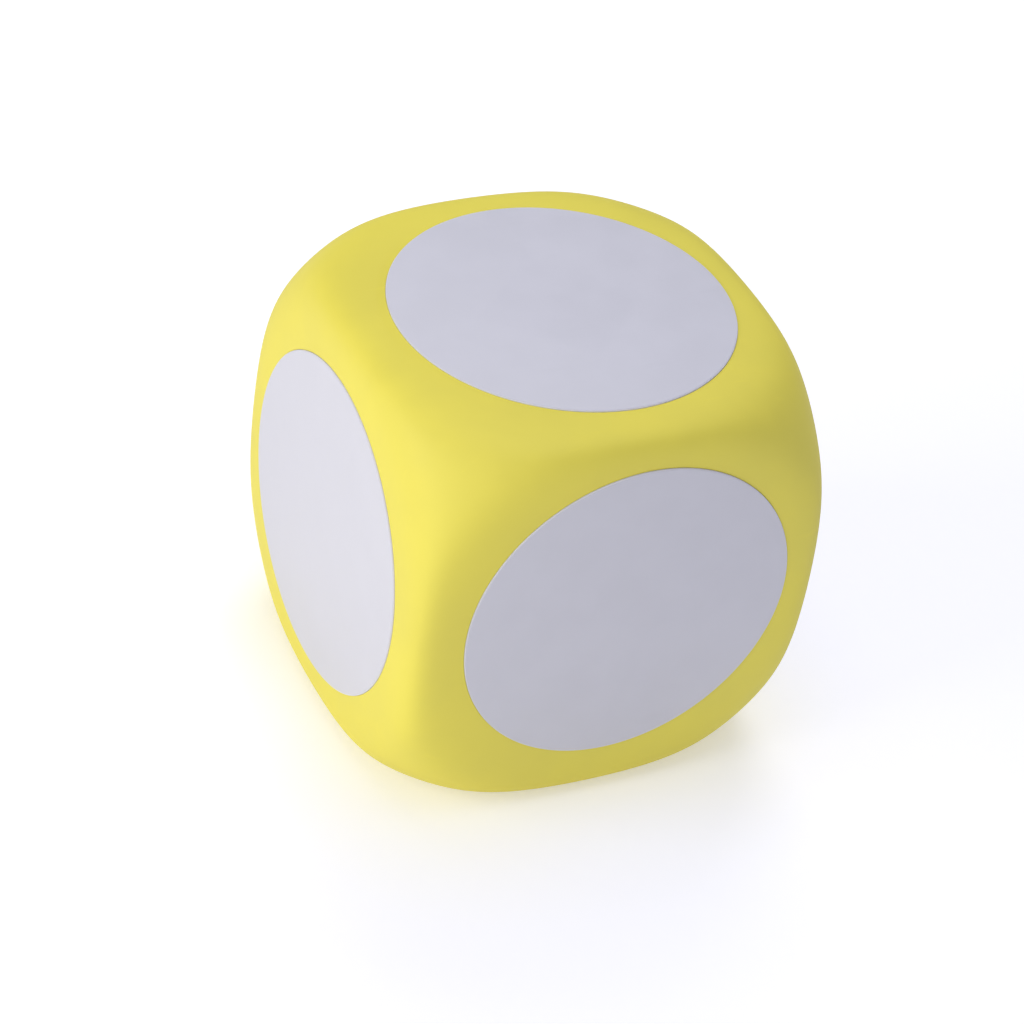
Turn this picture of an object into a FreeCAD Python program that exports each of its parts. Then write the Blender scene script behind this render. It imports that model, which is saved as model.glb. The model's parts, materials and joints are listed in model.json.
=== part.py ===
import FreeCAD, Part
import math
import os

# A giant yard die: a moulded soft-foam cube with ball-rounded corners, a coloured elastomer skin
# over the whole of it, and one blank write-on disc bonded to each of its six sides.
# Millimetres. +Z is up, -Y is the front, and -X is the left. The origin is the middle of the
# side that the die rests on, in the plane of that side's disc.

# Driving dimensions of the whole die
WIDTH = 300.0             # over the outer faces of two opposite discs
DISC_RADIUS = 116.0
SKIN_THICKNESS = 3.0

# The discs' layers, from the body outwards
ADHESIVE_THICKNESS = 0.45
DISC_THICKNESS = 1.3
FILM_THICKNESS = 0.2
ADHESIVE_INSET = 2.0      # the adhesive stops this far inside the disc's rim
SEAT_CLEARANCE = 0.5      # gap round the disc, where the skin is sunk to take it
FILM_INSET = 0.6          # the film stops this far inside the disc's rim
RIM_ROUND = 0.35          # broken edge on the disc's outer rim

# The body is a cube cut by a ball, blended by powers: a high power keeps the sides flat and the
# edges tight, and a power of 2 would melt everything into a ball. Both reaches are from the
# body's middle, to where its sides' crowns and its corners would lie with no blending.
SIDE_REACH = 149.6
CORNER_REACH = 214.0
BLEND_POWER = 22

# Each side: its outward direction, one direction along it, and how far its disc was laid from
# the middle. The discs are laid by hand, and two of them sit a little off the middle.
SIDES = {
    "top": ((0, 0, 1), (1, 0, 0), (4.0, 0.0, 0.0)),
    "bottom": ((0, 0, -1), (1, 0, 0), (0.0, 0.0, 0.0)),
    "front": ((0, -1, 0), (1, 0, 0), (2.7, 0.0, 8.3)),
    "back": ((0, 1, 0), (1, 0, 0), (0.0, 0.0, 0.0)),
    "left": ((-1, 0, 0), (0, 1, 0), (0.0, 0.0, 0.0)),
    "right": ((1, 0, 0), (0, 1, 0), (0.0, 0.0, 0.0)),
}

PATCH_STEPS = 54          # steps from edge to edge of a side's surface
SPARE_STEPS = 6           # steps taken past each edge, so that the surface meets it smoothly


def surface_point(direction, inset):
    """The point of the body's surface, moved in by inset, that a ray from its middle meets."""
    total = (1 / (CORNER_REACH - inset)) ** BLEND_POWER
    for coordinate in direction:
        total += (abs(coordinate) / (SIDE_REACH - inset)) ** BLEND_POWER
    return direction * total ** (-1 / BLEND_POWER)


def spline_through(points):
    """A smooth curve through points that lie at even steps of its own measure."""
    curve = Part.BSplineCurve()
    curve.interpolate(Points=points, Parameters=[float(step) for step in range(len(points))])
    return curve


def surface_through(rows):
    """A smooth surface through a square grid of points, the same whichever way it is read.

    Neighbouring sides then share their edges exactly, so the six of them close without a gap.
    """
    across = [spline_through(row).getPoles() for row in rows]
    down = [spline_through(list(column)) for column in zip(*across)]
    poles = [list(row) for row in zip(*(curve.getPoles() for curve in down))]
    knots = down[0].getKnots()
    counts = down[0].getMultiplicities()
    degree = down[0].Degree
    surface = Part.BSplineSurface()
    surface.buildFromPolesMultsKnots(
        poles, counts, counts, knots, knots, False, False, degree, degree
    )
    return surface


def side_face(out, along, inset):
    """One side of the body's surface, out to the lines where it meets its neighbours."""
    out = FreeCAD.Vector(*out)
    along = FreeCAD.Vector(*along)
    across = out.cross(along)
    step = math.pi / 2 / PATCH_STEPS
    turns = range(-SPARE_STEPS, PATCH_STEPS + SPARE_STEPS + 1)
    slopes = [math.tan(turn * step - math.pi / 4) for turn in turns]
    rows = []
    for u in slopes:
        directions = [(out + along * u + across * v).normalize() for v in slopes]
        rows.append([surface_point(direction, inset) for direction in directions])
    surface = surface_through(rows)
    first = SPARE_STEPS
    last = SPARE_STEPS + PATCH_STEPS
    surface.segment(first, last, first, last)
    return surface.toShape()


def body_solid(inset):
    """The body's smooth form as one solid about its own middle, moved in by inset."""
    faces = [side_face(out, along, inset) for out, along, _ in SIDES.values()]
    shell = Part.makeCompound(faces)
    shell.sewShape()
    solid = Part.makeSolid(shell)
    if solid.Volume < 0:
        solid.reverse()
    return solid


def layer(side, radius, start, thickness):
    """A round layer on one side: from start, measured from the body's middle, outwards."""
    out, _, shift = SIDES[side]
    out = FreeCAD.Vector(*out)
    centre = out * start + FreeCAD.Vector(*shift)
    return Part.makeCylinder(radius, thickness, centre, out)


def rounded_rim(disc, side):
    """The disc with the outer edge of its rim rounded."""
    out = FreeCAD.Vector(*SIDES[side][0])
    outermost = [edge for edge in disc.Edges if edge.Closed and len(edge.Vertexes) == 1]
    outermost.sort(key=lambda edge: edge.CenterOfMass.dot(out))
    return disc.makeFillet(RIM_ROUND, [outermost[-1]])


def save(shape, node):
    """Move a shape from the body's middle to the die's own frame and write it."""
    shape = shape.copy()
    shape.translate(FreeCAD.Vector(0, 0, WIDTH / 2))
    shape.exportStep(os.path.join("parts", node + ".step"))
    print(f"{node:16} {len(shape.Solids)} solid, valid {shape.isValid()}, {shape.Volume / 1000:.1f} cm3")


os.makedirs("parts", exist_ok=True)

seat_floor = WIDTH / 2 - FILM_THICKNESS - DISC_THICKNESS - ADHESIVE_THICKNESS
disc_start = seat_floor + ADHESIVE_THICKNESS
film_start = disc_start + DISC_THICKNESS

core = body_solid(SKIN_THICKNESS)
skin = body_solid(0.0)
for side in SIDES:
    seat_reach = SIDE_REACH - seat_floor + SEAT_CLEARANCE
    skin = skin.cut(layer(side, DISC_RADIUS + SEAT_CLEARANCE, seat_floor, seat_reach))
    save(layer(side, DISC_RADIUS - ADHESIVE_INSET, seat_floor, ADHESIVE_THICKNESS), "adhesive_" + side)
    save(rounded_rim(layer(side, DISC_RADIUS, disc_start, DISC_THICKNESS), side), "disc_" + side)
    save(layer(side, DISC_RADIUS - FILM_INSET, film_start, FILM_THICKNESS), "film_" + side)
save(core, "foam_core")
save(skin.cut(core), "outer_skin")
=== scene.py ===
import json
import logging
import math
from dataclasses import dataclass
from enum import Enum

import bmesh
import bpy
import numpy as np
from mathutils import Matrix, Vector

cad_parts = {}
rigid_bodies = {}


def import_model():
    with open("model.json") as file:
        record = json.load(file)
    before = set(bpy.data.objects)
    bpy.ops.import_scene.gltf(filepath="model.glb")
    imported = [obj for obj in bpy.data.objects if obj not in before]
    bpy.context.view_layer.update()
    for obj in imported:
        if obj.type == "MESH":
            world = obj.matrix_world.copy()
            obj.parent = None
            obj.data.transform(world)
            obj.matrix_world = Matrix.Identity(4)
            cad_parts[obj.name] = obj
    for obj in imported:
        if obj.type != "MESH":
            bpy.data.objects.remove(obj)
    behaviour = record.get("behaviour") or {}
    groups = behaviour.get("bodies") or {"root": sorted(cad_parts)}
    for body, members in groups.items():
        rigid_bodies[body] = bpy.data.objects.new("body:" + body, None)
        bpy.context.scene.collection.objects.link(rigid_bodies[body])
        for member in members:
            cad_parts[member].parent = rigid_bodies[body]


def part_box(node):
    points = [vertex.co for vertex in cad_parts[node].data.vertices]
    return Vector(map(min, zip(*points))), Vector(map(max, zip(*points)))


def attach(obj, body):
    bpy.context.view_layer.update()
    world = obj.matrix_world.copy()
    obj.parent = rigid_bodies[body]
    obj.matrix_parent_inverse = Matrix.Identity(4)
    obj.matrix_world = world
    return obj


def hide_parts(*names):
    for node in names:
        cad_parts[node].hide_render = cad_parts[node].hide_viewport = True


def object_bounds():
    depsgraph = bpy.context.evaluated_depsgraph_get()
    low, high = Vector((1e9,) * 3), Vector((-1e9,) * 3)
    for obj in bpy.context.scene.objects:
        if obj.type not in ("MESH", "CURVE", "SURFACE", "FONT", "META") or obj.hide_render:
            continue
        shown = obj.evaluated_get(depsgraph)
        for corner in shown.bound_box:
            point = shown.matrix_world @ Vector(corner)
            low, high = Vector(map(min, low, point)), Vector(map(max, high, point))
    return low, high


# The looks of a giant yard die: a soft-foam cube with ball-rounded corners, a satin yellow skin
# over the whole of it, and a blank write-on disc bonded to each of its six sides.
# Metres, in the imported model's own frame: +Z is up, -Y is the front and -X is the left.

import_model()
CAD_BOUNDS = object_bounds()
MM = 0.001
SETTLING_ROUNDS = 4       # enough to place the surface above a spot to far below a micron
SHARP_SEAT = math.radians(50)
SHARP_RIM = math.radians(40)
RIM_STEPS = 4             # faces round the rounding of a disc's rim
WELD = 0.01 * MM          # two sides' points on their shared edge are joined within this

log = logging.getLogger("yard_die")


# ---------------------------------------------------------------------------------------------
# Sides and form
# ---------------------------------------------------------------------------------------------


class Side(Enum):
    """The six sides of the die, each with its outward direction and one direction along it."""

    TOP = ((0, 0, 1), (1, 0, 0))
    BOTTOM = ((0, 0, -1), (1, 0, 0))
    FRONT = ((0, -1, 0), (1, 0, 0))
    BACK = ((0, 1, 0), (1, 0, 0))
    LEFT = ((-1, 0, 0), (0, 1, 0))
    RIGHT = ((1, 0, 0), (0, 1, 0))

    @property
    def out(self) -> Vector:
        """The side's outward direction."""
        return Vector(self.value[0])

    @property
    def along(self) -> Vector:
        """A direction that lies in the side."""
        return Vector(self.value[1])

    @property
    def across(self) -> Vector:
        """The direction in the side that is square to along."""
        return self.out.cross(self.along)

    def node(self, part: str) -> str:
        """The name of this side's node of a part, such as disc_top."""
        return f"{part}_{self.name.lower()}"


@dataclass(frozen=True)
class SoftForm:
    """A cube cut by a ball, blended by powers.

    Args:
        half: distance from the middle to the crown of a side.
        corner: distance from the middle to a corner's ball.
        power: a high power keeps the sides flat and the edges tight.
    """

    half: float
    corner: float
    power: float = 22.0

    def inset(self, depth: float) -> "SoftForm":
        """The same form moved in by a depth."""
        return SoftForm(self.half - depth, self.corner - depth, self.power)

    def surface(self, rays: np.ndarray) -> np.ndarray:
        """The points of the surface that rays from the middle meet.

        Args:
            rays: an array of directions, of any length.

        Returns:
            An array of points, measured from the form's middle.
        """
        units = rays / np.linalg.norm(rays, axis=1)[:, None]
        total = ((np.abs(units) / self.half) ** self.power).sum(axis=1)
        total = total + (1 / self.corner) ** self.power
        return units * (total ** (-1 / self.power))[:, None]

    def rises(self, spots: np.ndarray) -> np.ndarray:
        """How far a side's surface stands from the form's middle.

        Args:
            spots: an array of places along and across the side.

        Returns:
            The surface's distance at each spot.
        """
        rise = np.full(len(spots), self.half)
        for _ in range(SETTLING_ROUNDS):
            rise = self.surface(np.column_stack((spots, rise)))[:, 2]
        return rise


@dataclass(frozen=True)
class DiscPlace:
    """Where one side's disc lies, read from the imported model.

    Args:
        middle: the disc's centre on its inner face.
        radius: the disc's radius.
        thickness: the disc's thickness.
    """

    middle: Vector
    radius: float
    thickness: float

    @classmethod
    def read(cls, side: Side, part: str) -> "DiscPlace":
        """Measure a round layer of a side.

        Args:
            side: the side that the layer is on.
            part: the layer's name without its side.

        Returns:
            The layer's place and size.
        """
        low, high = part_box(side.node(part))
        size = high - low
        thickness = min(size)
        middle = (low + high) / 2 - side.out * thickness / 2
        return cls(middle, max(size) / 2, thickness)


# ---------------------------------------------------------------------------------------------
# Mesh helpers
# ---------------------------------------------------------------------------------------------


def finished_object(
    bm: bmesh.types.BMesh, name: str, material: bpy.types.Material, smooth: bool = True
) -> bpy.types.Object:
    """Turn a finished bmesh into an object of the scene.

    Args:
        bm: the mesh, which is freed.
        name: the object's name.
        material: the finish of the whole piece.
        smooth: whether its faces are shaded smooth.

    Returns:
        The new object, at the origin.
    """
    for face in bm.faces:
        face.smooth = smooth
    mesh = bpy.data.meshes.new(name)
    bm.to_mesh(mesh)
    bm.free()
    mesh.materials.append(material)
    obj = bpy.data.objects.new(name, mesh)
    bpy.context.scene.collection.objects.link(obj)
    return obj


def place_piece(obj: bpy.types.Object, node: str) -> None:
    """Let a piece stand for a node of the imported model.

    Args:
        obj: the finished piece.
        node: the node that it replaces.
    """
    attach(obj, "root")
    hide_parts(node)
    log.info("%s: %d faces", obj.name, len(obj.data.polygons))


# ---------------------------------------------------------------------------------------------
# Shader helpers and shared effects
# ---------------------------------------------------------------------------------------------


class Sketch:
    """A short way to write the nodes of one material or node group."""

    def __init__(self, tree: bpy.types.NodeTree) -> None:
        """Start with an empty tree."""
        self.tree = tree
        tree.nodes.clear()

    def node(self, kind: str, **settings: object) -> bpy.types.Node:
        """Add a node.

        Args:
            kind: the node's type.
            settings: values for its own properties.

        Returns:
            The new node.
        """
        node = self.tree.nodes.new(kind)
        for key, value in settings.items():
            setattr(node, key, value)
        return node

    def link(self, source: bpy.types.NodeSocket, target: bpy.types.NodeSocket) -> None:
        """Join two sockets."""
        self.tree.links.new(source, target)

    def noise(
        self,
        place: bpy.types.NodeSocket,
        scale: float,
        detail: float = 2.0,
        roughness: float = 0.5,
    ) -> bpy.types.NodeSocket:
        """Add a noise texture.

        Args:
            place: the coordinates that it is laid on.
            scale: features per metre.
            detail: how many finer layers it has.
            roughness: how strong the finer layers are.

        Returns:
            The noise's value, about 0.5 on average.
        """
        texture = self.node("ShaderNodeTexNoise")
        texture.inputs["Scale"].default_value = scale
        texture.inputs["Detail"].default_value = detail
        texture.inputs["Roughness"].default_value = roughness
        self.link(place, texture.inputs["Vector"])
        return texture.outputs["Fac"]

    def remap(
        self,
        value: bpy.types.NodeSocket,
        low: float,
        high: float,
        to_low: float = 0.0,
        to_high: float = 1.0,
        soft: bool = True,
    ) -> bpy.types.NodeSocket:
        """Spread a range of values over another range.

        Args:
            value: the value to change.
            low: the value that becomes to_low.
            high: the value that becomes to_high.
            to_low: the result's start.
            to_high: the result's end.
            soft: whether the two ends are eased.

        Returns:
            The changed value, kept inside its new range.
        """
        node = self.node("ShaderNodeMapRange")
        node.interpolation_type = "SMOOTHSTEP" if soft else "LINEAR"
        ends = {"From Min": low, "From Max": high, "To Min": to_low, "To Max": to_high}
        for label, number in ends.items():
            node.inputs[label].default_value = number
        self.link(value, node.inputs["Value"])
        return node.outputs["Result"]

    def math(self, operation: str, first: object, second: object = None) -> bpy.types.NodeSocket:
        """Add a sum of two values, each a socket or a number.

        Args:
            operation: the kind of sum.
            first: the first value.
            second: the second value, if the sum has one.

        Returns:
            The result.
        """
        node = self.node("ShaderNodeMath", operation=operation)
        for socket, value in zip(node.inputs, (first, second)):
            if isinstance(value, bpy.types.NodeSocket):
                self.link(value, socket)
            elif value is not None:
                socket.default_value = value
        return node.outputs["Value"]

    def mix(
        self,
        amount: bpy.types.NodeSocket,
        first: object,
        second: object,
    ) -> bpy.types.NodeSocket:
        """Blend two colours, each a socket or a colour.

        Args:
            amount: how much of the second colour shows.
            first: the first colour.
            second: the second colour.

        Returns:
            The blended colour.
        """
        node = self.node("ShaderNodeMix", data_type="RGBA")
        self.link(amount, node.inputs[0])
        for socket, value in ((node.inputs[6], first), (node.inputs[7], second)):
            if isinstance(value, bpy.types.NodeSocket):
                self.link(value, socket)
            else:
                socket.default_value = (*value, 1.0)
        return node.outputs[2]


def new_group(
    name: str, inputs: dict[str, tuple[str, float]], outputs: dict[str, str]
) -> tuple[bpy.types.NodeTree, Sketch, bpy.types.Node, bpy.types.Node]:
    """Start a shader node group.

    Args:
        name: the group's name.
        inputs: each input's name, with its socket type and its usual value.
        outputs: each output's name, with its socket type.

    Returns:
        The group, a sketch of it, and its input and output nodes.
    """
    group = bpy.data.node_groups.new(name, "ShaderNodeTree")
    for label, (kind, usual) in inputs.items():
        socket = group.interface.new_socket(label, in_out="INPUT", socket_type=kind)
        if kind == "NodeSocketFloat":
            socket.default_value = usual
    for label, kind in outputs.items():
        group.interface.new_socket(label, in_out="OUTPUT", socket_type=kind)
    sketch = Sketch(group)
    return group, sketch, sketch.node("NodeGroupInput"), sketch.node("NodeGroupOutput")


def cloudiness_group() -> bpy.types.NodeTree:
    """Slow, soft unevenness, as in a sprayed coat or a moulded sheet.

    Returns:
        A group that puts out a mask from 0 to 1, about 0.5 on average.
    """
    group, sketch, start, end = new_group(
        "cloudiness",
        {"Vector": ("NodeSocketVector", 0.0), "Size": ("NodeSocketFloat", 20.0)},
        {"Mask": "NodeSocketFloat"},
    )
    texture = sketch.node("ShaderNodeTexNoise")
    texture.inputs["Detail"].default_value = 3.0
    texture.inputs["Roughness"].default_value = 0.55
    sketch.link(start.outputs["Vector"], texture.inputs["Vector"])
    sketch.link(start.outputs["Size"], texture.inputs["Scale"])
    sketch.link(sketch.remap(texture.outputs["Fac"], 0.3, 0.7), end.inputs["Mask"])
    return group


def pebble_group() -> bpy.types.NodeTree:
    """A fine pebbled surface, as on a coat that dried over foam or on a matt film.

    Returns:
        A group that puts out a height.
    """
    group, sketch, start, end = new_group(
        "pebble",
        {"Vector": ("NodeSocketVector", 0.0), "Size": ("NodeSocketFloat", 400.0)},
        {"Height": "NodeSocketFloat"},
    )
    fine = sketch.node("ShaderNodeTexNoise")
    fine.inputs["Detail"].default_value = 2.0
    cells = sketch.node("ShaderNodeTexVoronoi", feature="SMOOTH_F1")
    cells.inputs["Smoothness"].default_value = 1.0
    for texture in (fine, cells):
        sketch.link(start.outputs["Vector"], texture.inputs["Vector"])
        sketch.link(start.outputs["Size"], texture.inputs["Scale"])
    height = sketch.math("ADD", fine.outputs["Fac"], cells.outputs["Distance"])
    sketch.link(height, end.inputs["Height"])
    return group


def scuff_group() -> bpy.types.NodeTree:
    """Thin, sparse marks left by handling and by a wiped pen.

    Returns:
        A group that puts out a mask: 1 in a mark, 0 on the clean surface.
    """
    group, sketch, start, end = new_group(
        "scuffs",
        {
            "Vector": ("NodeSocketVector", 0.0),
            "Size": ("NodeSocketFloat", 30.0),
            "Amount": ("NodeSocketFloat", 0.5),
        },
        {"Mask": "NodeSocketFloat"},
    )
    stretch = sketch.node("ShaderNodeMapping")
    stretch.inputs["Rotation"].default_value = (0.4, 0.7, 0.3)
    stretch.inputs["Scale"].default_value = (1.0, 9.0, 4.0)
    sketch.link(start.outputs["Vector"], stretch.inputs["Vector"])
    streaks = sketch.node("ShaderNodeTexNoise")
    streaks.inputs["Detail"].default_value = 4.0
    sketch.link(stretch.outputs["Vector"], streaks.inputs["Vector"])
    sketch.link(start.outputs["Size"], streaks.inputs["Scale"])
    patches = sketch.node("ShaderNodeTexNoise")
    sketch.link(start.outputs["Vector"], patches.inputs["Vector"])
    sketch.link(start.outputs["Size"], patches.inputs["Scale"])
    thin = sketch.remap(streaks.outputs["Fac"], 0.58, 0.72)
    where = sketch.remap(patches.outputs["Fac"], 0.45, 0.65)
    mask = sketch.math("MULTIPLY", sketch.math("MULTIPLY", thin, where), start.outputs["Amount"])
    sketch.link(mask, end.inputs["Mask"])
    return group


class Effects:
    """The shared effects, built once and placed in each material with its own values."""

    def __init__(self) -> None:
        """Build every group."""
        self.groups = {
            "cloudiness": cloudiness_group(),
            "pebble": pebble_group(),
            "scuffs": scuff_group(),
        }

    def place(
        self, sketch: Sketch, name: str, vector: bpy.types.NodeSocket, **values: float
    ) -> bpy.types.NodeSocket:
        """Place an effect in a material.

        Args:
            sketch: the material's sketch.
            name: the effect's name.
            vector: the coordinates that it is laid on.
            values: the effect's own inputs.

        Returns:
            The effect's output.
        """
        node = sketch.node("ShaderNodeGroup")
        node.node_tree = self.groups[name]
        sketch.link(vector, node.inputs["Vector"])
        for label, value in values.items():
            node.inputs[label].default_value = value
        return node.outputs[0]


# ---------------------------------------------------------------------------------------------
# Finishes
# ---------------------------------------------------------------------------------------------


@dataclass(frozen=True)
class Finish:
    """What every finish has: its name, its colour, and how it takes the light."""

    name: str
    colour: tuple[float, float, float]
    roughness: float
    specular: float

    def start(self) -> tuple[bpy.types.Material, Sketch, bpy.types.Node, bpy.types.NodeSocket]:
        """Begin the material.

        Returns:
            The material, its sketch, its shader and the object's coordinates.
        """
        material = bpy.data.materials.new(self.name)
        material.use_nodes = True
        sketch = Sketch(material.node_tree)
        shader = sketch.node("ShaderNodeBsdfPrincipled")
        shader.inputs["Specular IOR Level"].default_value = self.specular
        output = sketch.node("ShaderNodeOutputMaterial")
        sketch.link(shader.outputs["BSDF"], output.inputs["Surface"])
        place = sketch.node("ShaderNodeTexCoord").outputs["Object"]
        return material, sketch, shader, place

    def shaded(self, factor: float) -> tuple[float, float, float]:
        """The finish's colour, made darker or lighter by a factor."""
        return tuple(min(channel * factor, 1.0) for channel in self.colour)


def add_bump(
    sketch: Sketch,
    shader: bpy.types.Node,
    height: bpy.types.NodeSocket,
    distance: float,
    strength: float,
) -> None:
    """Raise a finish's surface by a height.

    Args:
        sketch: the material's sketch.
        shader: the material's shader.
        height: the height, from 0 to about 1.
        distance: how far a height of 1 stands out, in metres.
        strength: how much of that shows.
    """
    bump = sketch.node("ShaderNodeBump")
    bump.inputs["Distance"].default_value = distance
    bump.inputs["Strength"].default_value = strength
    sketch.link(height, bump.inputs["Height"])
    sketch.link(bump.outputs["Normal"], shader.inputs["Normal"])


@dataclass(frozen=True)
class SkinFinish(Finish):
    """Satin elastomer coat, a little uneven in colour, pebbled very finely."""

    name: str = "yellow_skin"
    colour: tuple[float, float, float] = (0.83, 0.725, 0.076)
    roughness: float = 0.60
    specular: float = 0.7
    cloud_size: float = 14.0
    mark_size: float = 22.0
    mark_amount: float = 0.35
    mark_wear: float = 0.08
    pebble_size: float = 420.0
    pebble_depth: float = 0.06 * MM
    pebble_strength: float = 0.35

    def build(self, effects: Effects) -> bpy.types.Material:
        """Build the material."""
        material, sketch, shader, place = self.start()
        cloud = effects.place(sketch, "cloudiness", place, Size=self.cloud_size)
        marks = effects.place(sketch, "scuffs", place, Size=self.mark_size, Amount=self.mark_amount)
        tone = sketch.mix(cloud, self.shaded(0.975), self.shaded(1.02))
        rubbed = sketch.mix(marks, tone, self.shaded(1.06))
        sketch.link(rubbed, shader.inputs["Base Color"])
        worn = sketch.math("MULTIPLY", marks, self.mark_wear)
        rough = sketch.remap(cloud, 0.0, 1.0, self.roughness - 0.03, self.roughness + 0.03)
        sketch.link(sketch.math("ADD", rough, worn), shader.inputs["Roughness"])
        pebble = effects.place(sketch, "pebble", place, Size=self.pebble_size)
        add_bump(sketch, shader, pebble, self.pebble_depth, self.pebble_strength)
        return material


@dataclass(frozen=True)
class FilmFinish(Finish):
    """Matt white write-on film with a faint lavender tone and the haze of old wiping."""

    name: str = "writing_film"
    colour: tuple[float, float, float] = (0.655, 0.65, 0.672)
    roughness: float = 0.42
    specular: float = 0.4
    haze_size: float = 26.0
    mark_size: float = 18.0
    mark_amount: float = 0.4
    mark_polish: float = 0.06
    grain_size: float = 900.0
    grain_depth: float = 0.02 * MM
    grain_strength: float = 0.3

    def build(self, effects: Effects) -> bpy.types.Material:
        """Build the material."""
        material, sketch, shader, place = self.start()
        haze = effects.place(sketch, "cloudiness", place, Size=self.haze_size)
        marks = effects.place(sketch, "scuffs", place, Size=self.mark_size, Amount=self.mark_amount)
        tone = sketch.mix(haze, self.shaded(0.985), self.shaded(1.012))
        wiped = sketch.mix(marks, tone, self.shaded(0.96))
        sketch.link(wiped, shader.inputs["Base Color"])
        rough = sketch.remap(haze, 0.0, 1.0, self.roughness - 0.04, self.roughness + 0.05)
        polished = sketch.math("MULTIPLY", marks, -self.mark_polish)
        sketch.link(sketch.math("ADD", rough, polished), shader.inputs["Roughness"])
        grain = effects.place(sketch, "pebble", place, Size=self.grain_size)
        add_bump(sketch, shader, grain, self.grain_depth, self.grain_strength)
        return material


@dataclass(frozen=True)
class DiscFinish(Finish):
    """Plain white plastic, as it shows at a disc's cut rim."""

    name: str = "white_disc"
    colour: tuple[float, float, float] = (0.70, 0.695, 0.73)
    roughness: float = 0.38
    specular: float = 0.5
    cloud_size: float = 30.0
    cut_size: float = 700.0
    cut_depth: float = 0.03 * MM
    cut_strength: float = 0.3

    def build(self, effects: Effects) -> bpy.types.Material:
        """Build the material."""
        material, sketch, shader, place = self.start()
        cloud = effects.place(sketch, "cloudiness", place, Size=self.cloud_size)
        tone = sketch.mix(cloud, self.shaded(0.97), self.shaded(1.02))
        sketch.link(tone, shader.inputs["Base Color"])
        rough = sketch.remap(cloud, 0.0, 1.0, self.roughness - 0.03, self.roughness + 0.04)
        sketch.link(rough, shader.inputs["Roughness"])
        cut = effects.place(sketch, "pebble", place, Size=self.cut_size)
        add_bump(sketch, shader, cut, self.cut_depth, self.cut_strength)
        return material


@dataclass(frozen=True)
class AdhesiveFinish(Finish):
    """Cream-coloured bonding layer under each disc."""

    name: str = "bonding_adhesive"
    colour: tuple[float, float, float] = (0.62, 0.55, 0.38)
    roughness: float = 0.35
    specular: float = 0.5
    spread_size: float = 60.0
    ridge_size: float = 160.0
    ridge_depth: float = 0.1 * MM
    ridge_strength: float = 0.5

    def build(self, effects: Effects) -> bpy.types.Material:
        """Build the material."""
        material, sketch, shader, place = self.start()
        spread = effects.place(sketch, "cloudiness", place, Size=self.spread_size)
        tone = sketch.mix(spread, self.shaded(0.9), self.shaded(1.08))
        sketch.link(tone, shader.inputs["Base Color"])
        rough = sketch.remap(spread, 0.0, 1.0, self.roughness - 0.08, self.roughness + 0.1)
        sketch.link(rough, shader.inputs["Roughness"])
        ridges = effects.place(sketch, "pebble", place, Size=self.ridge_size)
        add_bump(sketch, shader, ridges, self.ridge_depth, self.ridge_strength)
        return material


@dataclass(frozen=True)
class FoamFinish(Finish):
    """Pale open-celled foam, as it would show if the skin were cut, with painted shade darkening
    each cell's hollow and its rims painted lighter.
    """

    name: str = "core_foam"
    colour: tuple[float, float, float] = (0.72, 0.63, 0.24)
    roughness: float = 0.9
    specular: float = 0.2
    cell_size: float = 900.0
    cell_depth: float = 0.5 * MM
    cell_strength: float = 0.8
    cloud_size: float = 25.0

    def build(self, effects: Effects) -> bpy.types.Material:
        """Build the material."""
        material, sketch, shader, place = self.start()
        cells = sketch.node("ShaderNodeTexVoronoi", feature="DISTANCE_TO_EDGE")
        cells.inputs["Scale"].default_value = self.cell_size
        sketch.link(place, cells.inputs["Vector"])
        cell_shade_and_depth = sketch.remap(cells.outputs["Distance"], 0.02, 0.22)
        cloud = effects.place(sketch, "cloudiness", place, Size=self.cloud_size)
        # Painted shade: each cell's hollow is coloured darker than its rim, where the bump below
        # sinks it.
        inside = sketch.mix(cloud, self.shaded(0.72), self.shaded(0.86))
        sketch.link(sketch.mix(cell_shade_and_depth, self.shaded(1.1), inside), shader.inputs["Base Color"])
        rough = sketch.remap(cloud, 0.0, 1.0, self.roughness - 0.05, self.roughness + 0.05)
        sketch.link(rough, shader.inputs["Roughness"])
        hollow = sketch.math("SUBTRACT", 1.0, cell_shade_and_depth)
        add_bump(sketch, shader, hollow, self.cell_depth, self.cell_strength)
        return material


@dataclass(frozen=True)
class FloorFinish(Finish):
    """Plain pale studio floor, lit a little from below.

    Args:
        paper_size: features per metre of its faint unevenness.
        glow: how brightly it shines of itself.
        extra_glow: how much brighter it looks to the camera alone, so that it shows as white.
    """

    name: str = "studio_floor"
    colour: tuple[float, float, float] = (0.86, 0.86, 0.86)
    roughness: float = 0.9
    specular: float = 0.1
    paper_size: float = 3.0
    glow: float = 0.16
    extra_glow: float = 0.15

    def build(self) -> bpy.types.Material:
        """Build the material."""
        material, sketch, shader, place = self.start()
        paper = sketch.noise(place, self.paper_size)
        tone = sketch.mix(paper, self.shaded(0.997), self.shaded(1.003))
        sketch.link(tone, shader.inputs["Base Color"])
        shader.inputs["Roughness"].default_value = self.roughness
        shader.inputs["Emission Color"].default_value = (1.0, 1.0, 1.0, 1.0)
        seen = sketch.node("ShaderNodeLightPath").outputs["Is Camera Ray"]
        glow = sketch.math("ADD", sketch.math("MULTIPLY", seen, self.extra_glow), self.glow)
        sketch.link(glow, shader.inputs["Emission Strength"])
        return material


# ---------------------------------------------------------------------------------------------
# The die
# ---------------------------------------------------------------------------------------------


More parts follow.
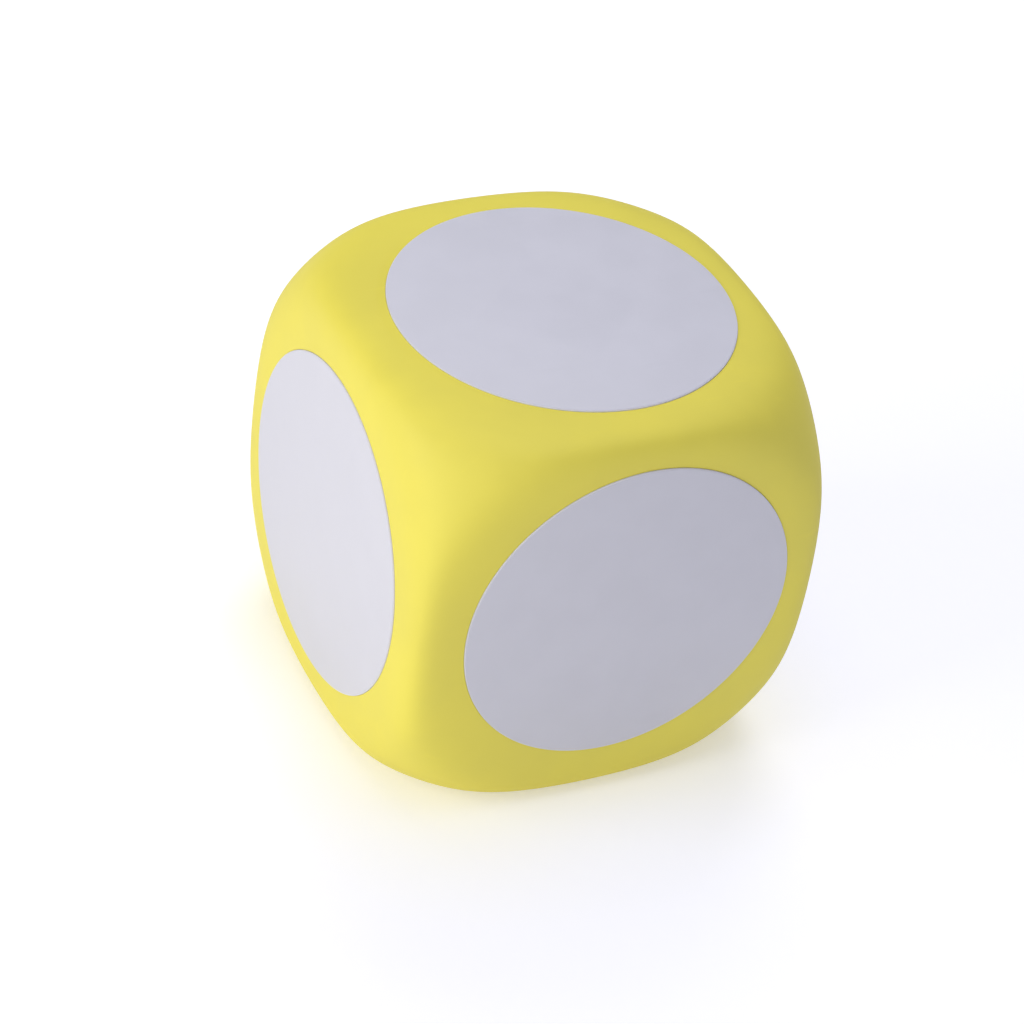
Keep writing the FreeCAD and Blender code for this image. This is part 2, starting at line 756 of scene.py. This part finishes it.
@dataclass
class SoftBody:
    """The foam core and the skin that is moulded over it.

    Args:
        skin_finish: the skin's material.
        foam_finish: the core's material.
        corner_share: the reach of a corner, as a share of the die's width.
        skin: thickness of the skin.
        seat_clearance: gap round a disc in its seat.
        lip: width of the rounding at the seat's edge.
        lip_depth: how far that rounding drops.
        segments: points round a disc, a multiple of four.
        rings: rings of faces from the end of the round rings to the side's edge.
        wall_cuts: cuts across each side of the wall between the foam and the skin.
    """

    skin_finish: bpy.types.Material
    foam_finish: bpy.types.Material
    corner_share: float = 214 / 300
    skin: float = 3.0 * MM
    seat_clearance: float = 0.15 * MM
    lip: float = 0.6 * MM
    lip_depth: float = 0.15 * MM
    segments: int = 256
    rings: int = 40
    wall_cuts: int = 59

    def __post_init__(self) -> None:
        """Read the die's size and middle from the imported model."""
        self.middle = (CAD_BOUNDS[0] + CAD_BOUNDS[1]) / 2
        width = CAD_BOUNDS[1].x - CAD_BOUNDS[0].x
        self.seat_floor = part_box(Side.TOP.node("adhesive"))[0].z - self.middle.z
        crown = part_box("foam_core")[1].z + self.skin - self.middle.z
        self.form = SoftForm(crown, width * self.corner_share)
        self.places = {side: DiscPlace.read(side, "disc") for side in Side}
        log.info("body: crown %.4f, seat floor %.4f", crown, self.seat_floor)

    def shift(self, side: Side) -> Vector:
        """How far a side's disc lies from the side's middle."""
        offset = self.places[side].middle - self.middle
        return offset - side.out * offset.dot(side.out)

    def round_steps(self) -> list[float]:
        """How far the round rings are past the seat's edge."""
        return [step * self.lip for step in (0.0, 0.12, 0.3, 0.55, 1.0, 2.2, 4.5, 8.0, 13.0)]

    def on_side(self, side: Side, slopes: np.ndarray) -> list[Vector]:
        """Points of the body's surface on one side.

        Args:
            side: the side.
            slopes: each point's direction from the middle, as how far it runs along and across
                the side for each step outwards.

        Returns:
            The points, in the die's frame.
        """
        axes = np.array([tuple(side.along), tuple(side.across), tuple(side.out)])
        rays = np.column_stack((slopes, np.ones(len(slopes)))) @ axes
        return [Vector(point) + self.middle for point in self.form.surface(rays)]

    def edge_slopes(self) -> np.ndarray:
        """Even steps round a side's square edge, starting where along is largest and middle."""
        quarter = self.segments // 4
        slopes = []
        for k in range(self.segments):
            turn = (k + quarter // 2) % self.segments
            side, step = divmod(turn, quarter)
            run = math.tan(math.pi / 4 * (2 * step / quarter - 1))
            slopes.append(((1.0, run), (-run, 1.0), (-1.0, -run), (run, -1.0))[side])
        return np.array(slopes)

    def ring_slopes(self, side: Side) -> list[np.ndarray]:
        """Every ring of a side's surface, from the seat's edge out to the side's own edge.

        Args:
            side: the side.

        Returns:
            The slopes of each ring's points.
        """
        shift = self.shift(side)
        centre = np.array((shift.dot(side.along), shift.dot(side.across)))
        turns = np.arange(self.segments) * (2 * math.pi / self.segments)
        circle = np.column_stack((np.cos(turns), np.sin(turns)))
        seat_radius = self.places[side].radius + self.seat_clearance
        rings = []
        for step in self.round_steps():
            spots = centre + circle * (seat_radius + step)
            rings.append(spots / self.form.rises(spots)[:, None])
        last, edge = rings[-1], self.edge_slopes()
        for step in range(1, self.rings + 1):
            rings.append(last + (edge - last) * step / self.rings)
        return rings

    def dropped(self, past: float) -> float:
        """How far the surface drops at a distance past the seat's edge, to round its lip."""
        share = max(1 - past / self.lip, 0.0)
        return self.lip_depth * share * share

    def side_rings(self, bm: bmesh.types.BMesh, side: Side) -> None:
        """Add one side of the skin's outer surface, with its seat.

        Args:
            bm: the mesh to add to.
            side: the side.
        """
        rings = self.ring_slopes(side)
        floor = bmesh.ops.create_circle(bm, cap_ends=True, segments=self.segments, radius=1.0)
        loop = floor["verts"]
        for vert, point in zip(loop, self.on_side(side, rings[0])):
            above = (point - self.middle).dot(side.out) - self.seat_floor
            vert.co = point - side.out * above
        steps = self.round_steps() + [self.lip] * self.rings
        for slopes, past in zip(rings, steps):
            edges = [bm.edges.get((loop[i - 1], loop[i])) for i in range(self.segments)]
            grown = bmesh.ops.extrude_edge_only(bm, edges=edges)["geom"]
            fresh = {item for item in grown if isinstance(item, bmesh.types.BMVert)}
            loop = [
                next(e.other_vert(vert) for e in vert.link_edges if e.other_vert(vert) in fresh)
                for vert in loop
            ]
            for vert, point in zip(loop, self.on_side(side, slopes)):
                vert.co = point - side.out * self.dropped(past)

    def build_skin(self) -> bpy.types.Object:
        """The skin: its outer surface with six seats, and its inner wall against the foam."""
        bm = bmesh.new()
        for side in Side:
            self.side_rings(bm, side)
        bmesh.ops.remove_doubles(bm, verts=bm.verts, dist=WELD)
        bmesh.ops.recalc_face_normals(bm, faces=bm.faces)
        wall = self.rounded_cube(bm, self.form.inset(self.skin))
        bmesh.ops.reverse_faces(bm, faces=wall)
        skin = finished_object(bm, "outer_skin_soft", self.skin_finish)
        skin.data.set_sharp_from_angle(angle=SHARP_SEAT)
        place_piece(skin, "outer_skin")
        return skin

    def rounded_cube(self, bm: bmesh.types.BMesh, form: SoftForm) -> list[bmesh.types.BMFace]:
        """Add a whole rounded cube, with its faces pointing outwards.

        Args:
            bm: the mesh to add to.
            form: the shape that it takes.

        Returns:
            The new faces.
        """
        before = set(bm.faces)
        cube = bmesh.ops.create_cube(bm, size=2.0)["verts"]
        edges = list({edge for vert in cube for edge in vert.link_edges})
        bmesh.ops.subdivide_edges(bm, edges=edges, cuts=self.wall_cuts, use_grid_fill=True)
        faces = [face for face in bm.faces if face not in before]
        verts = list({vert for face in faces for vert in face.verts})
        even = np.tan(np.array([tuple(vert.co) for vert in verts]) * math.pi / 4)
        points = form.surface(even)
        for vert, point in zip(verts, points):
            vert.co = Vector(point) + self.middle
        return faces

    def build_core(self) -> bpy.types.Object:
        """The foam core, which fills the skin."""
        bm = bmesh.new()
        self.rounded_cube(bm, self.form.inset(self.skin))
        core = finished_object(bm, "foam_core_block", self.foam_finish)
        place_piece(core, "foam_core")
        return core


@dataclass
class RoundLayer:
    """One of the round layers on a side: adhesive, disc or film.

    Args:
        part: the layer's node name without its side.
        title: what the piece is called.
        slot: the name of a material slot; not used.
        finish: the layer's material.
        rim_round: radius of its outer rim's rounding, or 0 for a square rim.
        segments: points round the layer.
    """

    part: str
    title: str
    slot: str
    finish: bpy.types.Material
    rim_round: float = 0.0
    segments: int = 256

    def build(self, side: Side) -> bpy.types.Object:
        """Build the layer for one side.

        Args:
            side: the side that it is on.

        Returns:
            The finished piece.
        """
        place = DiscPlace.read(side, self.part)
        bm = bmesh.new()
        bmesh.ops.create_circle(bm, cap_ends=True, segments=self.segments, radius=place.radius)
        base = list(bm.faces)
        grown = bmesh.ops.extrude_face_region(bm, geom=base)["geom"]
        top = [item for item in grown if isinstance(item, bmesh.types.BMVert)]
        bmesh.ops.translate(bm, verts=top, vec=(0, 0, place.thickness))
        if self.rim_round:
            rim = [edge for edge in bm.edges if all(vert in top for vert in edge.verts)]
            bmesh.ops.bevel(
                bm,
                geom=rim,
                offset=self.rim_round,
                segments=RIM_STEPS,
                affect="EDGES",
                profile=0.5,
                material=-1,
            )
        bmesh.ops.recalc_face_normals(bm, faces=bm.faces)
        turn = Matrix((side.along, side.across, side.out)).transposed().to_4x4()
        bmesh.ops.transform(bm, matrix=Matrix.Translation(place.middle) @ turn, verts=bm.verts)
        layer = finished_object(bm, side.node(self.title), self.finish)
        layer.data.set_sharp_from_angle(angle=SHARP_RIM)
        place_piece(layer, side.node(self.part))
        return layer


@dataclass
class YardDie:
    """The whole die: its soft body and the three layers on each side."""

    effects: Effects

    def __post_init__(self) -> None:
        """Make the finishes and the kinds of layer."""
        self.body = SoftBody(
            skin_finish=SkinFinish().build(self.effects),
            foam_finish=FoamFinish().build(self.effects),
        )
        self.layers = (
            RoundLayer(
                "adhesive", "bond", "bonding_adhesive", AdhesiveFinish().build(self.effects)
            ),
            RoundLayer(
                "disc", "board", "white_disc", DiscFinish().build(self.effects), rim_round=0.35 * MM
            ),
            RoundLayer(
                "film", "writing_face", "writing_film", FilmFinish().build(self.effects),
                rim_round=0.08 * MM,
            ),
        )

    def build(self) -> None:
        """Build every piece."""
        self.body.build_core()
        self.body.build_skin()
        for side in Side:
            for layer in self.layers:
                layer.build(side)


# ---------------------------------------------------------------------------------------------
# Studio
# ---------------------------------------------------------------------------------------------


WARM = (1.0, 0.98, 0.92)      # the colour of the lights at the left
COOL = (0.90, 0.92, 1.0)      # the colour of the light overhead


@dataclass(frozen=True)
class SoftLight:
    """A square soft box that faces the die.

    Args:
        name: what it is called.
        azimuth: where it stands round the die; 0 is the front and 90 is the right, in degrees.
        elevation: how high it stands, in degrees.
        distance: how far it stands from the die.
        size: length of its side.
        power: its power in watts.
        colour: its colour.
        mirrored: whether it shows in reflections.
    """

    name: str
    azimuth: float
    elevation: float
    distance: float
    size: float
    power: float
    colour: tuple[float, float, float] = (1.0, 1.0, 1.0)
    mirrored: bool = True

    def build(self, target: Vector) -> None:
        """Put the light in the scene, facing a target."""
        data = bpy.data.lights.new(self.name, "AREA")
        data.shape = "SQUARE"
        data.size = self.size
        data.energy = self.power
        data.color = self.colour
        obj = bpy.data.objects.new(self.name, data)
        obj.visible_glossy = self.mirrored
        back = direction(self.azimuth, self.elevation)
        obj.location = target + back * self.distance
        obj.rotation_mode = "QUATERNION"
        obj.rotation_quaternion = (-back).to_track_quat("-Z", "Y")
        bpy.context.scene.collection.objects.link(obj)


def direction(azimuth: float, elevation: float) -> Vector:
    """The direction from the die to a place round it: azimuth 0 is the front, 90 the right."""
    around, up = math.radians(azimuth), math.radians(elevation)
    return Vector(
        (math.sin(around) * math.cos(up), -math.cos(around) * math.cos(up), math.sin(up))
    )


@dataclass(frozen=True)
class Viewpoint:
    """The camera's place.

    Args:
        azimuth: where it stands round the die, in degrees.
        elevation: how high it stands, in degrees.
        roll: how far it is tilted about its own axis, in degrees.
        distance: how far it stands from its aim.
        lens: focal length in millimetres, for a 36 mm wide frame.
        aim: the point that it looks at, measured from the die's middle.
    """

    azimuth: float = -30.11
    elevation: float = 37.34
    roll: float = 9.18
    distance: float = 2.318
    lens: float = 119.98
    aim: tuple[float, float, float] = (-0.0120, -0.0058, -0.0145)

    def build(self, middle: Vector) -> None:
        """Put the camera in the scene and make it the one that is used."""
        data = bpy.data.cameras.new("viewpoint")
        data.sensor_width = 36.0
        data.lens = self.lens
        data.clip_end = 50.0
        camera = bpy.data.objects.new("viewpoint", data)
        back = direction(self.azimuth, self.elevation)
        level = Vector((0, 0, 1)).cross(back).normalized()
        upright = back.cross(level)
        roll = math.radians(self.roll)
        right = level * math.cos(roll) + upright * math.sin(roll)
        up = upright * math.cos(roll) - level * math.sin(roll)
        turn = Matrix((right, up, back)).transposed().to_4x4()
        place = middle + Vector(self.aim) + back * self.distance
        camera.matrix_world = Matrix.Translation(place) @ turn
        bpy.context.scene.collection.objects.link(camera)
        bpy.context.scene.camera = camera


@dataclass(frozen=True)
class Studio:
    """A plain pale floor, soft lights and the camera.

    Args:
        floor: the floor's finish.
        floor_size: length of the floor's side.
        room_colour: the colour of the room's even light.
        room_strength: how strong that light is.
        mirrored_share: how much of it shows in reflections, which keeps the skin's yellow deep.
        lights: the soft boxes.
    """

    floor: FloorFinish = FloorFinish()
    floor_size: float = 12.0
    room_colour: tuple[float, float, float] = (0.79, 0.80, 1.02)
    room_strength: float = 0.5
    mirrored_share: float = 0.2
    lights: tuple[SoftLight, ...] = (
        SoftLight("key", -88, 22, distance=2.2, size=1.4, power=18.5, colour=WARM),
        SoftLight("key_front", -50, 8, distance=2.4, size=1.4, power=9.5, colour=WARM),
        SoftLight("rear", 150, 50, distance=2.4, size=1.4, power=16.0, mirrored=False),
        SoftLight("top", 0, 88, distance=2.4, size=1.8, power=11.5, colour=COOL),
    )

    def build(self, middle: Vector) -> None:
        """Build the studio round the die."""
        bm = bmesh.new()
        bmesh.ops.create_grid(bm, x_segments=1, y_segments=1, size=self.floor_size / 2)
        floor = finished_object(bm, "studio_floor", self.floor.build(), smooth=False)
        bpy.context.scene.world = self.room()
        for light in self.lights:
            light.build(middle)
        Viewpoint().build(middle)
        view = bpy.context.scene.view_settings
        view.view_transform = "Standard"
        view.look = "None"


    def room(self) -> bpy.types.World:
        """The even light of the room, which shows less in reflections.

        Returns:
            The finished world.
        """
        world = bpy.data.worlds.new("room")
        world.use_nodes = True
        sketch = Sketch(world.node_tree)
        background = sketch.node("ShaderNodeBackground")
        background.inputs["Color"].default_value = (*self.room_colour, 1.0)
        mirrored = sketch.node("ShaderNodeLightPath").outputs["Is Glossy Ray"]
        loss = sketch.math("MULTIPLY", mirrored, self.room_strength * (1 - self.mirrored_share))
        strength = sketch.math("SUBTRACT", self.room_strength, loss)
        sketch.link(strength, background.inputs["Strength"])
        output = sketch.node("ShaderNodeOutputWorld")
        sketch.link(background.outputs["Background"], output.inputs["Surface"])
        return world


def main() -> None:
    """Build the die and the studio round it."""
    logging.basicConfig(level=logging.INFO, format="%(name)s: %(message)s")
    die = YardDie(Effects())
    Studio().build(die.body.middle)
    die.build()


if __name__ == "__main__":
    main()
